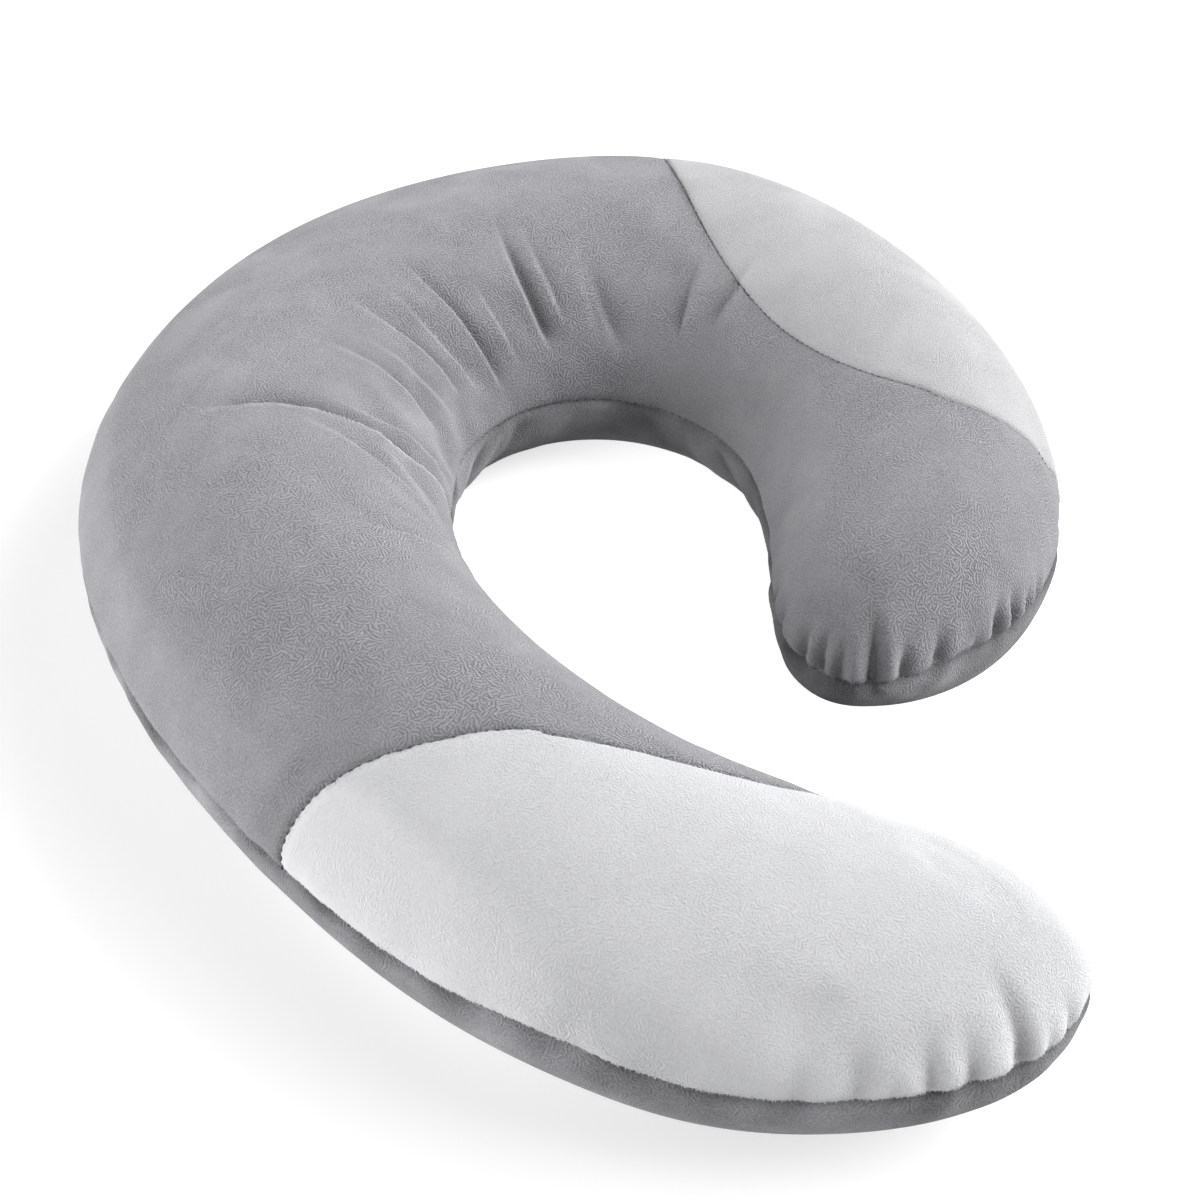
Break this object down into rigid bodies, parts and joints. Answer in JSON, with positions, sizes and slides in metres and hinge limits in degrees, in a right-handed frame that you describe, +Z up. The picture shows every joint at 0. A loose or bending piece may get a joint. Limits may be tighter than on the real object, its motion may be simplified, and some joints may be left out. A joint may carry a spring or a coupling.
{
  "type": "u-shaped pet pillow",
  "caption": "U-shaped pet pillow of short plush, firmly stuffed, with a long arm, a shorter curled arm, a dark top with light panels, and a dark base.",
  "frame": {"origin": "on the surface that the pillow rests on, under the middle of its bounding box", "axes": "+Z up; +Y along the longest extent, from the long near arm to the shorter far arm; +X towards the opening of the U"},
  "size_m": [0.363, 0.5004, 0.0927],
  "materials": {
    "base_plush": "dark grey short plush, matt with a soft sheen",
    "dark_plush": "grey short plush with a fine embossed squiggle, matt with a soft sheen",
    "light_plush": "pale grey short plush with a fine embossed squiggle, matt with a soft sheen"
  },
  "bodies": {
    "root": {"filled_base": "base_plush", "top_panel": "dark_plush", "near_arm_panel": "light_plush", "far_arm_panel": "light_plush"}
  },
  "joints": []
}
